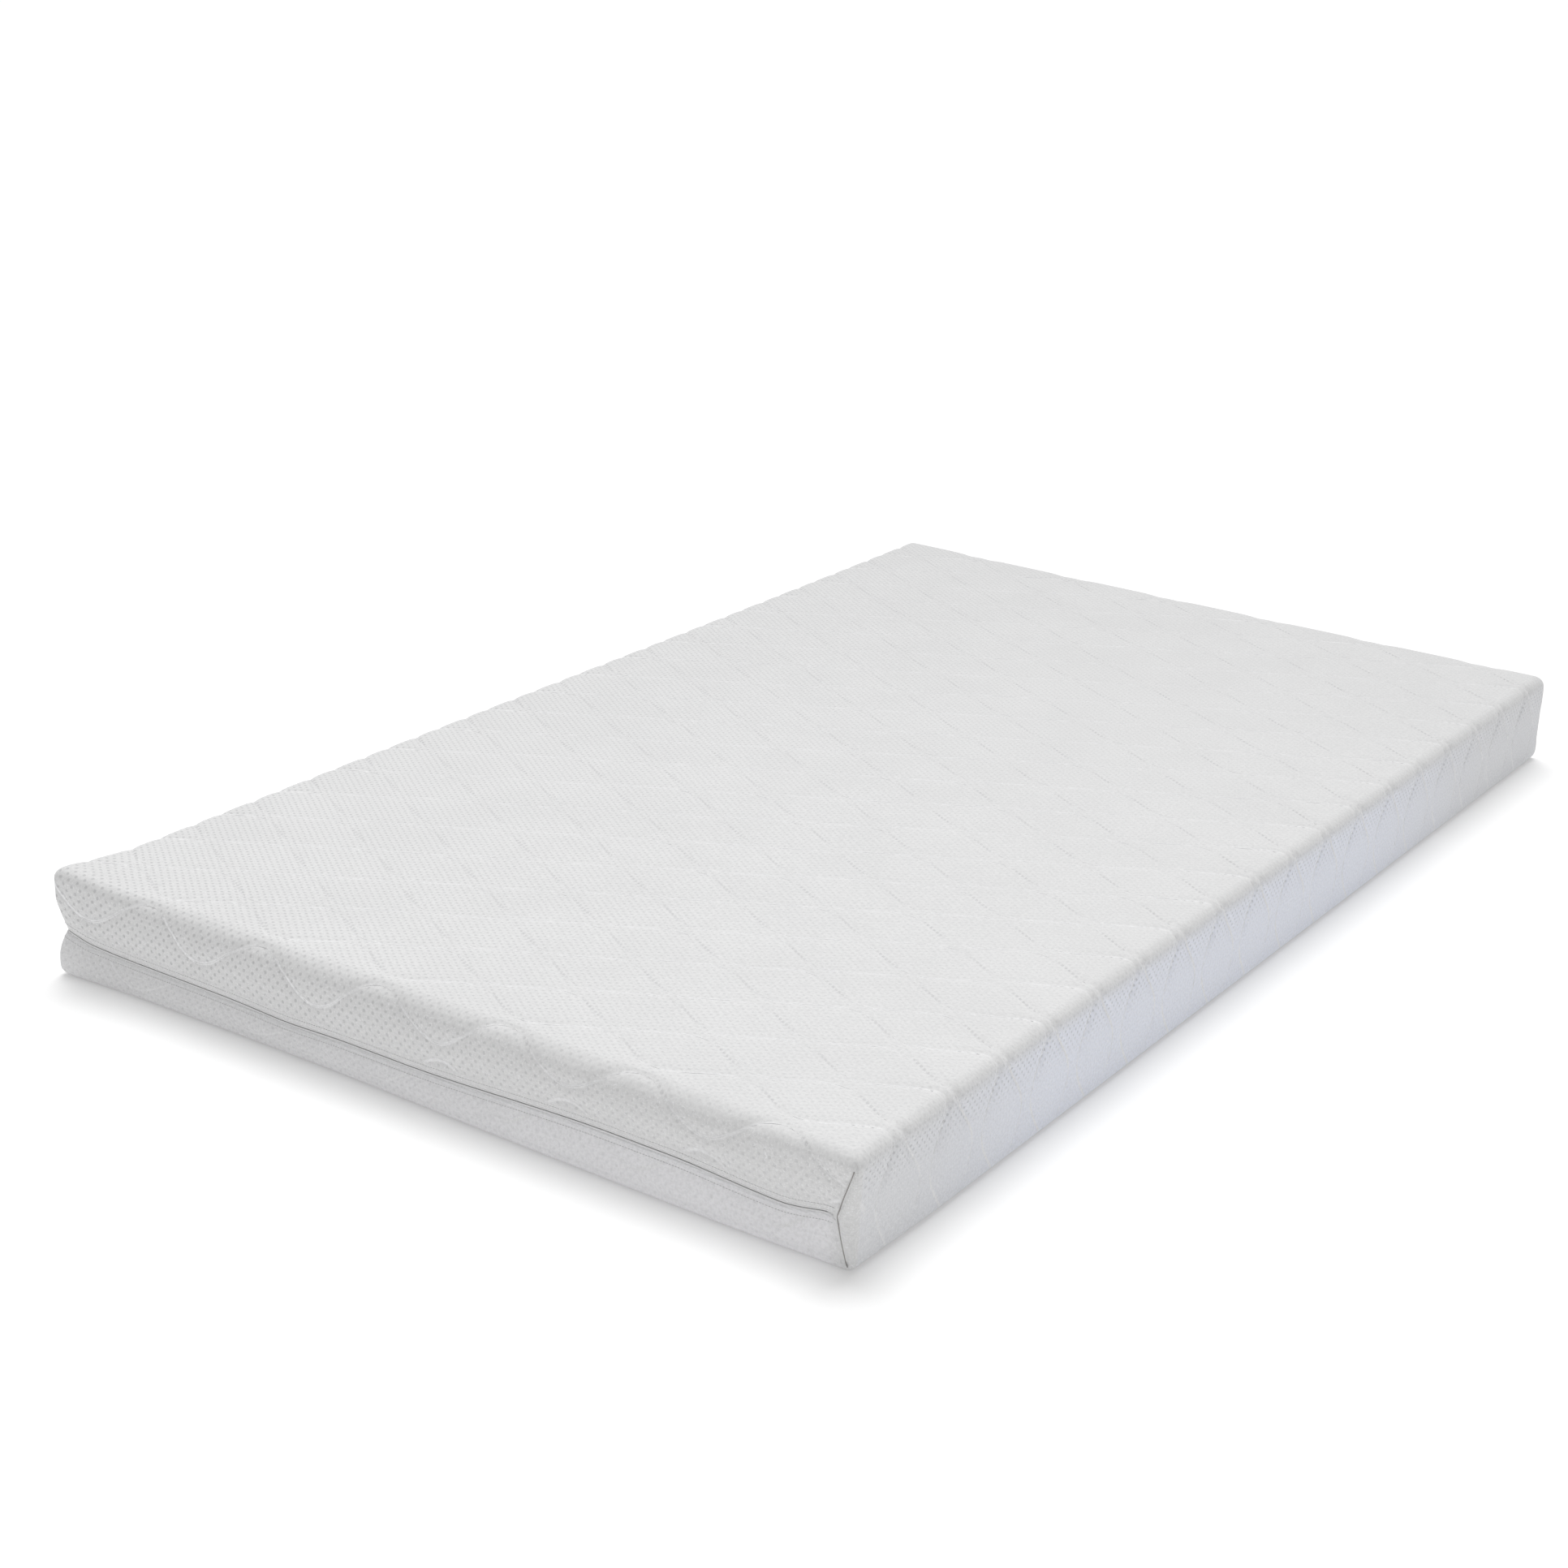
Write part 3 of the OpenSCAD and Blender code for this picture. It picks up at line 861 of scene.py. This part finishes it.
def lay_fabric(cover, faces, sides, x, y, z):
    """Writes cloth coordinates for each face corner, and where the knit's look changes."""
    mesh = cover.data
    flat = np.concatenate([np.asarray(f) for f in faces])
    counts = np.array([len(f) for f in faces])
    corner_side = np.repeat(sides, counts)
    s, t = np.zeros(len(flat)), np.zeros(len(flat))
    for side in range(6):
        on = corner_side == side
        at = flat[on]
        s[on], t[on] = fabric(side, x[at], y[at], z[at])
    layer = mesh.uv_layers.new(name="fabric")
    layer.data.foreach_set("uv", np.stack([s, t], -1).ravel())
    looks = {"plain": plainness, "blue_light_share": painted_blue_light, "flap_light_share": painted_flap_light,
             "flat": flatness, "dents_and_shade": dent_depth_and_shade}
    for name, look in looks.items():
        attribute = mesh.attributes.new(name, "FLOAT", "POINT")
        attribute.data.foreach_set("value", look(x, y, z))


# ---- the layers inside
def rim(quads, count):
    """Quads that join the open edges of an outer skin to those of an inner one."""
    edges = np.concatenate([quads[:, [n, (n + 1) % 4]] for n in range(4)])
    key = np.sort(edges, axis=1)
    _, first, uses = np.unique(key, axis=0, return_index=True, return_counts=True)
    open_edges = edges[first[uses == 1]]
    a, b = open_edges[:, 0], open_edges[:, 1]
    return np.stack([b, a, a + count, b + count], -1)


def layer(name, node, slot, material, outer, inner, slotted, step, drawn=0.0):
    """A ply between two depths under the face, open at the zip or closed round it."""
    xs = lines(HALF_W, step, 8 * MM, 48 * MM)
    ys = lines(HALF_L, step, 8 * MM, 48 * MM)
    rows = side_rows(7, 1, 8) if slotted else side_rows(6, 6, 7)
    lattice = Lattice(xs, ys, rows, grow=1.2 * MM if slotted else 12 * MM)
    x, y, z = lattice.x, lattice.y, lattice.z
    s, t = lattice.fabric()
    behind = np.where((edge_gap(x, y) < ON_FACE) & (not slotted), behind_zip(x, z), 0)
    crease = relief(x, y, z, s, t, 6 * MM) * drawn
    top = np.minimum(outer + crease, inner - 0.3 * MM)
    skins = [settle(place(x, y, z, depth, behind)) for depth in (top, inner)]
    quads = lattice.quads
    if slotted:
        level = lattice.k[quads]
        in_slot = (level.min(1) == lattice.lips[0]) & (level.max(1) == lattice.lips[1])
        in_slot &= (lattice.side != TOP) & (lattice.side != BOTTOM) & (lattice.side != RIGHT)
        in_slot &= x[quads].max(1) < ZIP_END + 6 * MM
        quads = quads[~in_slot]
    count = len(x)
    faces = np.concatenate([quads, quads[:, ::-1] + count, rim(quads, count)])
    points, faces, _ = compact(np.concatenate(skins), faces.tolist())
    return finish_piece(make_mesh(name, points, faces, material), node)


def foam_block(name, node, material, low, high, depth):
    """A foam slab that fills the cover between two heights."""
    xs = lines(HALF_W, 40 * MM, 8 * MM, 48 * MM)
    ys = lines(HALF_L, 40 * MM, 8 * MM, 48 * MM)
    lattice = Lattice(xs, ys, side_rows(6, 6, 7), grow=12 * MM)
    x, y = lattice.x, lattice.y
    z = low + lattice.z / THICK * (high - low)
    edge = edge_gap(x, y)
    points = place(x, y, z, depth, np.where(edge < ON_FACE, behind_zip(x, z), 0))
    is_lower = high < THICK - ON_FACE
    cut = lattice.k == (lattice.nz if is_lower else 0)
    level = high if is_lower else low
    corner = np.where(x < 0, ZIP_CORNER, SEAM_CORNER)
    flat_inset = depth + waist(x, y, level) + edge * (1 - depth / corner)
    cut_x, cut_y = plan(x, y, np.where(edge < corner, flat_inset, edge))
    points[cut] = np.stack([cut_x, cut_y, np.full(x.shape, level)], -1)[cut]
    block = make_mesh(name, settle(points), lattice.quads.tolist(), material)
    finish_piece(block, node)
    return block


def inner_layers():
    """Wadding, backing, the sleeve round the foam, and the two foams."""
    wadding = layer("wadding_layer", "cover_wadding", "wadding",
                    fleece_material("wadding_fleece", (0.86, 0.86, 0.86), 12 * MM),
                    1.2 * MM, 5 * MM, True, 12 * MM, 1.0)
    backing = layer("backing_cloth", "cover_backing", "backing",
                    woven_material("backing_weave", (0.78, 0.78, 0.78), 1.2 * MM),
                    5.2 * MM, 6 * MM, True, 25 * MM)
    liner = layer("liner_sock", "foam_liner", "liner",
                  woven_material("liner_knit", (0.82, 0.82, 0.80), 1.8 * MM),
                  7 * MM, 8 * MM, False, 25 * MM)
    foam_block("foam_base", "support_foam",
               foam_material("support_foam_cells", (0.72, 0.71, 0.64), 1.6 * MM),
               0.0, FOAM_SPLIT, 8.2 * MM)
    foam_block("foam_memory", "memory_foam",
               foam_material("memory_foam_cells", (0.86, 0.78, 0.55), 1.0 * MM),
               FOAM_SPLIT, THICK, 8.2 * MM)


# ---- things along a path
def zip_path(step, beyond=0.0):
    """Points of the sharp outline from the zip's front end round to its back end."""
    end, low_x = ZIP_END + beyond, -HALF_W
    across_n = round((end - low_x) / step)
    along_n = round(2 * HALF_L / step)
    front_x = np.linspace(end, low_x, across_n + 1)
    side_y = np.linspace(-HALF_L, HALF_L, along_n + 1)[1:]
    back_x = front_x[::-1][1:]
    x = np.concatenate([front_x, np.full(along_n, low_x), back_x])
    y = np.concatenate([np.full(across_n + 1, -HALF_L), side_y, np.full(across_n, HALF_L)])
    return x, y


def on_path(x, y, inset, z):
    """A point beside the zip: this far in from the face's outermost line, at height z."""
    new_x, new_y = plan(x, y, inset * np.ones_like(x))
    return np.stack([new_x, new_y, z * np.ones_like(x)], -1)


def sweep(section):
    """Joins rings of points, given as (ring, point, xyz), into a tube with end caps."""
    rings, count, _ = section.shape
    index = np.arange(rings * count).reshape(rings, count)
    nxt = np.roll(index, -1, axis=1)
    walls = np.stack([index[:-1], nxt[:-1], nxt[1:], index[1:]], -1).reshape(-1, 4)
    caps = [index[0][::-1].tolist(), index[-1].tolist()]
    return section.reshape(-1, 3), walls.tolist() + caps


def tube(line, radius, sides):
    """Points and faces of a tube along a line of points."""
    ahead = unit(np.gradient(line, axis=0))
    up = np.where(np.abs(ahead[:, 2:]) > 0.8, [[0.6, 0.8, 0.0]], [[0.0, 0.0, 1.0]])
    out = unit(np.cross(ahead, up))
    up = np.cross(out, ahead)
    angle = 2 * PI * np.arange(sides) / sides
    ring = (out[:, None] * np.cos(angle)[None, :, None]
            + up[:, None] * np.sin(angle)[None, :, None])
    return sweep(line[:, None] + ring * radius)


def gather(parts):
    """One list of points and faces from several."""
    points, faces, count = [], [], 0
    for some_points, some_faces in parts:
        points.append(some_points)
        faces += [[n + count for n in f] for f in some_faces]
        count += len(some_points)
    return np.concatenate(points), faces


def zip_welt(half, sign, material):
    """The turned-in hem beside the teeth, which shows as a narrow roll."""
    x, y = zip_path(8 * MM, 14 * MM)
    far = np.clip((lip(x, y) - LIP_FRONT) / (LIP_BACK - LIP_FRONT), 0, 1)
    off = (1.6 + 3.4 * far) * MM
    sunk = (0.1 + 1.2 * far) * MM
    line = on_path(x, y, waist(x, y, ZIP_Z) + sunk, ZIP_Z + sign * off)
    points, faces = tube(settle(line), HEM_ROLL, 10)
    roll = make_mesh(f"hem_roll_{half}", points, faces, material)
    finish_piece(roll, f"zip_welt_{half}")


def one_stitch(centre, ahead):
    """Points and faces of a short stitch, thinner at its ends."""
    reach = np.array([-0.5, -0.42, 0, 0.42, 0.5]) * STITCH_LENGTH
    girth = np.array([0.25, 0.8, 1.0, 0.8, 0.25]) * 0.4 * MM
    up = np.array([0, 0, 1.0])
    angle = 2 * PI * np.arange(6) / 6
    ring = np.cross(ahead, up) * np.cos(angle)[:, None] + up * np.sin(angle)[:, None]
    spine = centre + ahead * reach[:, None]
    return sweep(spine[:, None] + ring[None] * girth[:, None, None])


def zip_stitches(half, sign, material):
    """Topstitching: one short stitch after another."""
    x, y = zip_path(STITCH_PITCH, 12 * MM)
    z = ZIP_Z + sign * 9 * MM
    line = settle(on_path(x, y, waist(x, y, z) - 0.1 * MM, z))
    ahead = unit(np.gradient(line, axis=0))
    points, faces = gather([one_stitch(centre, way) for centre, way in zip(line, ahead)])
    row = make_mesh(f"row_topstitch_{half}", points, faces, material)
    finish_piece(row, f"zip_topstitch_{half}")


def zip_tape(half, sign, material):
    """The woven tape that carries the teeth, behind the opening."""
    x, y = zip_path(20 * MM)
    heights = np.linspace(TAPE_LOW, TAPE_HIGH, 5)
    outline = [(0.0, h) for h in heights] + [(TAPE_THICK, h) for h in heights[::-1]]
    rings = []
    for thickness, height in outline[::sign]:
        z = ZIP_Z + sign * height
        between_plates = waist(x, y, ZIP_Z) + 5.0 * MM
        under_backing = waist(x, y, z) + 6.2 * MM
        face = between_plates if height < 5 * MM else under_backing
        rings.append(on_path(x, y, face + thickness, z))
    points, faces = sweep(np.stack(rings, 1))
    tape = make_mesh(f"woven_tape_{half}", settle(points), faces, material)
    finish_piece(tape, f"zip_tape_{half}")


def zip_coil(half, sign, material):
    """One side of the teeth: a nylon wire wound in a flattened spiral."""
    per_turn = 6
    x, y = zip_path(COIL_TURN / per_turn)
    keep = x < ZIP_END - 3.6 * MM
    x, y = x[keep], y[keep]
    phase = 2 * PI * np.arange(len(x)) / per_turn
    z = ZIP_Z + sign * (1.0 * MM + 0.75 * MM * np.cos(phase))
    inset = waist(x, y, ZIP_Z) + 5.2 * MM + 0.36 * MM * np.sin(phase)
    points, faces = tube(settle(on_path(x, y, inset, z)), COIL_WIRE, 4)
    coil = make_mesh(f"coil_teeth_{half}", points, faces, material)
    finish_piece(coil, f"zip_coil_{half}")


def zip_pieces():
    """Both halves of everything that the zip is made of, but for its slider and stops."""
    hem = woven_material("hem_cloth", (0.88, 0.88, 0.88), 1.0 * MM)
    tape = woven_material("tape_weave", (0.70, 0.70, 0.70), 0.9 * MM)
    thread = twisted_material("topstitch_thread", (0.74, 0.74, 0.75), 0.8 * MM)
    nylon = moulded_material("coil_nylon", (0.78, 0.78, 0.78))
    for half, sign in (("upper", 1), ("lower", -1)):
        zip_welt(half, sign, hem)
        zip_stitches(half, sign, thread)
        zip_tape(half, sign, tape)
        zip_coil(half, sign, nylon)


def corner_seam(end, side_y, material):
    """The sewn corner: a line of thread in the crease beside the zip's end, dark grey partly as
    painted shade of the crease.
    """
    z = np.linspace(6 * MM, 122 * MM, 60)
    y = np.full(z.shape, side_y)
    x = HALF_W - seam_offset(z)
    over_zip = 1.5 * MM * np.exp(-((z - ZIP_Z) / (11 * MM)) ** 2)
    line = settle(place(x, y, z, 0.6 * seam_dent(x, y, z) - 0.55 * MM - over_zip))
    points, faces = tube(line, SEAM_THREAD, 8)
    thread = make_mesh(f"seam_thread_and_crease_shade_{end}", points, faces, material)
    finish_piece(thread, f"corner_seam_{end}")


def corner_seams():
    """The seams at both ends of the side without a zip."""
    # dark grey thread: a real seam thread, and partly painted shade of the crease it lies in
    thread = twisted_material("seam_thread_and_crease_shade", (0.40, 0.385, 0.375), 1.6 * MM)
    corner_seam("front", -HALF_L, thread)
    corner_seam("back", HALF_L, thread)


def care_label():
    """A blank label, caught in the hem below the zip, which curls away from the cover."""
    low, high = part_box("care_label")
    columns, levels = 13, 9
    ys = np.linspace(low[1], high[1], columns)
    heights = np.linspace(low[2], high[2], levels)
    yy, zz = np.meshgrid(ys, heights, indexing="ij")
    x = np.full(yy.shape, -HALF_W)
    curl = 2.2 * MM * ((high[2] - zz) / (high[2] - low[2])) ** 2
    skins = []
    for off in (0.75 * MM, 0.15 * MM):
        inset = waist(x, yy, zz) - off - curl
        skins.append(np.stack([-HALF_W + inset, yy, zz], -1).reshape(-1, 3))
    count = columns * levels
    index = np.arange(count).reshape(columns, levels)
    corners = (index[:-1, :-1], index[:-1, 1:], index[1:, 1:], index[1:, :-1])
    quads = np.stack(corners, -1).reshape(-1, 4)
    faces = np.concatenate([quads, quads[:, ::-1] + count, rim(quads, count)])
    satin = woven_material("label_satin", (0.88, 0.88, 0.88), 0.6 * MM, 0.45, 0.5)
    label = make_mesh("blank_label", settle(np.concatenate(skins)), faces.tolist(), satin)
    finish_piece(label, "care_label")


# ---- quilting thread
def fold_point(s, t):
    """Sharp-box point of a cloth coordinate, or NaN past the corners."""
    for_s, for_t = s, t
    for _ in range(12):
        slid_s, slid_t = stretch(s, t)
        s, t = for_s - slid_s, for_t - slid_t
    x = unacross(np.clip(s, 0, TOP_S), HALF_W, TOP_R)
    y = unacross(np.clip(t, 0, TOP_T), HALF_L, TOP_R)
    over_s = np.maximum(-s, s - TOP_S)
    over_t = np.maximum(-t, t - TOP_T)
    down = np.maximum(np.maximum(over_s, over_t), 0)
    z = THICK - uncloth(down, TOP_R)
    z = np.where(down == 0, THICK, z)
    bad = (over_s > 0) & (over_t > 0)
    return np.where(bad, np.nan, x), y, z


def yarn_room(x, y, z):
    """Where the yarn can lie: away from the corners, the zip and the bottom edge."""
    seamless = zip_share(x) < 0.01
    room = corner_gap(x, y) > 24 * MM
    room &= (np.abs(z - ZIP_Z) * zip_share(x) > 24 * MM) | seamless
    room &= (z > 14 * MM) & ((z > ZIP_Z) | seamless)
    return room & ~np.isnan(x)


def yarn_along(s, t):
    """Tubes of yarn along one quilt line, one for each stretch that has room for it."""
    x, y, z = fold_point(s, t)
    room = yarn_room(x, y, z)
    runs = np.split(np.arange(len(s)), np.flatnonzero(np.diff(room.astype(int))) + 1)
    tubes = []
    for run in runs:
        if room[run[0]] and len(run) > 3:
            at = (x[run], y[run], z[run])
            deep = relief(*at, s[run], t[run]) * YARN_SUNK
            tubes.append(tube(settle(place(*at, deep)), YARN, 5))
    return tubes


def quilt_thread():
    """The quilting yarn, laid along the bottom of every crease."""
    s = np.arange(-0.075, TOP_S + 0.12, 8 * MM)
    first = math.ceil(-0.10 / QUILT_PITCH)
    parts = []
    for k in range(first, int(TOP_T / QUILT_PITCH) + 3):
        for line in quilt_lines(s):
            parts += yarn_along(s, line + k * QUILT_PITCH)
    points, faces = gather(parts)
    yarn = twisted_material("quilting_yarn", (0.90, 0.90, 0.905), 1.2 * MM)
    finish_piece(make_mesh("quilting_thread", points, faces, yarn), None)


# ---- CAD pieces kept as they are
def keep_cad_pieces():
    """Better materials on the CAD pieces that show as they are."""
    looks = {
        "zip_slider": metal_material("slider_metal", (0.62, 0.63, 0.65)),
        "zip_pull": metal_material("pull_metal", (0.66, 0.67, 0.69)),
        "zip_end_stops": moulded_material("stop_nylon", (0.72, 0.72, 0.72)),
    }
    for node, material in looks.items():
        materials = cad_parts[node].data.materials
        materials.clear()
        materials.append(material)


# ---- floor, light, camera
def pale_floor():
    """A wide white floor, a little self-lit so that it reads as a studio's backdrop."""
    mesh = bpy.data.meshes.new("floor")
    reach, level = 40.0, -0.2 * MM
    corners = [(-reach, -reach, level), (reach, -reach, level),
               (reach, reach, level), (-reach, reach, level)]
    mesh.from_pydata(corners, [], [(0, 1, 2, 3)])
    paint = Shader("floor_white", (0.96, 0.96, 0.96), 0.9)
    grain = paint.texture("noise", 3.0)
    darker, lighter = (0.955, 0.955, 0.955), (0.965, 0.965, 0.965)
    paint.paint(paint.mix(paint.ranged(grain, 0.3, 0.7), darker, lighter))
    paint.set(Specular_IOR_Level=0.0, Emission_Color=(1, 1, 1, 1), Emission_Strength=0.13)
    mesh.materials.append(paint.material)
    floor = bpy.data.objects.new("floor", mesh)
    bpy.context.scene.collection.objects.link(floor)


def add_lamp(data, place_at, degrees):
    """Puts a light into the scene, turned by these angles."""
    lamp = bpy.data.objects.new(data.name, data)
    lamp.location = place_at
    lamp.rotation_euler = [math.radians(angle) for angle in degrees]
    bpy.context.scene.collection.objects.link(lamp)


def soft_light():
    """An even white sky, a wide sun from behind on the left, and a panel over the front."""
    world = bpy.data.worlds.new("studio")
    world.use_nodes = True
    sky = world.node_tree.nodes["Background"]
    sky.inputs["Color"].default_value = (1, 1, 1, 1)
    sky.inputs["Strength"].default_value = 0.43
    bpy.context.scene.world = world
    sun = bpy.data.lights.new("soft_sun", "SUN")
    sun.energy = 0.54 * PI
    sun.angle = math.radians(40)
    add_lamp(sun, (0, 0, 3), (-24, 0, 34))
    panel = bpy.data.lights.new("soft_panel", "AREA")
    panel.size = 1.8
    panel.energy = 7
    add_lamp(panel, (0.0, -0.75, 2.3), (0, 0, 0))
    bpy.context.scene.view_settings.view_transform = "Standard"


def camera():
    """The photo's camera."""
    flat = math.cos(CAMERA_PITCH)
    ahead = np.array([math.cos(CAMERA_YAW) * flat, math.sin(CAMERA_YAW) * flat,
                      -math.sin(CAMERA_PITCH)])
    level = np.array([math.sin(CAMERA_YAW), -math.cos(CAMERA_YAW), 0.0])
    upright = np.cross(level, ahead)
    right = math.cos(CAMERA_ROLL) * level + math.sin(CAMERA_ROLL) * upright
    up = -math.sin(CAMERA_ROLL) * level + math.cos(CAMERA_ROLL) * upright
    data = bpy.data.cameras.new("camera")
    data.lens = CAMERA_LENS
    data.sensor_width = 36
    eye = bpy.data.objects.new("camera", data)
    turn = Matrix([[right[n], up[n], -ahead[n]] for n in range(3)]).to_4x4()
    eye.matrix_world = Matrix.Translation(CAMERA_PLACE) @ turn
    bpy.context.scene.collection.objects.link(eye)
    bpy.context.scene.camera = eye


camera()
pale_floor()
soft_light()
knit_cover()
inner_layers()
zip_pieces()
corner_seams()
care_label()
quilt_thread()
keep_cad_pieces()
